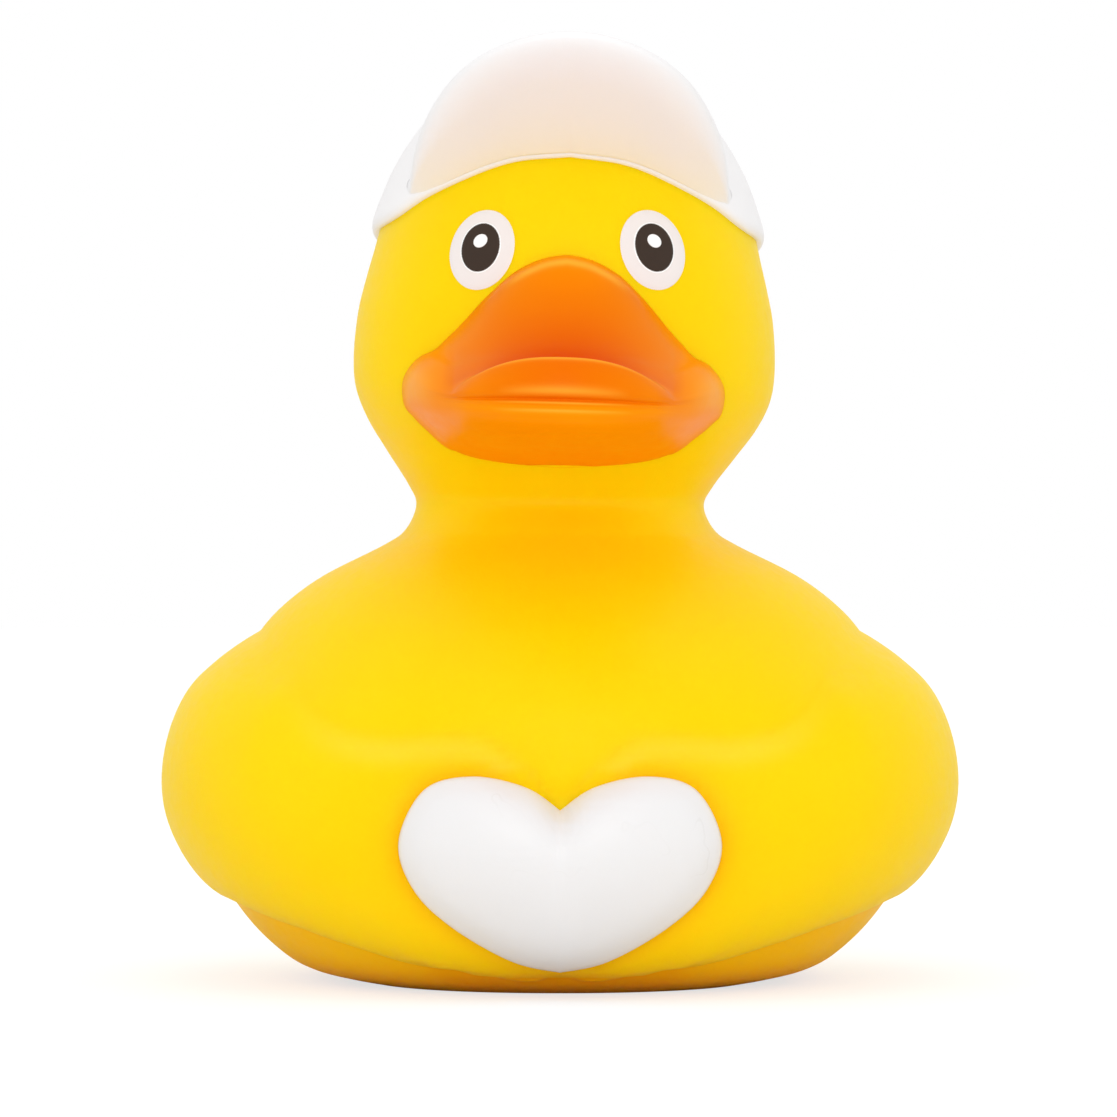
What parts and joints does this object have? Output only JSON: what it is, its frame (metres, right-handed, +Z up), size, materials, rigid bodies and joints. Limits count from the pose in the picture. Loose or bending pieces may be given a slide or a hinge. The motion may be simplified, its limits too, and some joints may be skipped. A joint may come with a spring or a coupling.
{
  "type": "rubber duck",
  "caption": "Hollow soft-vinyl toy duck in a white peaked cap, wings folded round a white heart on its chest, on a flat base.",
  "frame": {"origin": "middle of the bounding box at the flat base", "axes": "+X to the front, out of the bill; +Z up; +Y to the duck's own left"},
  "size_m": [0.0928, 0.0824, 0.0948],
  "materials": {
    "yellow_vinyl": "satin soft vinyl",
    "white_paint": "satin paint on vinyl",
    "orange_paint": "satin paint on vinyl",
    "brown_paint": "satin paint on vinyl"
  },
  "bodies": {
    "root": {"duck": "yellow_vinyl"}
  },
  "joints": []
}
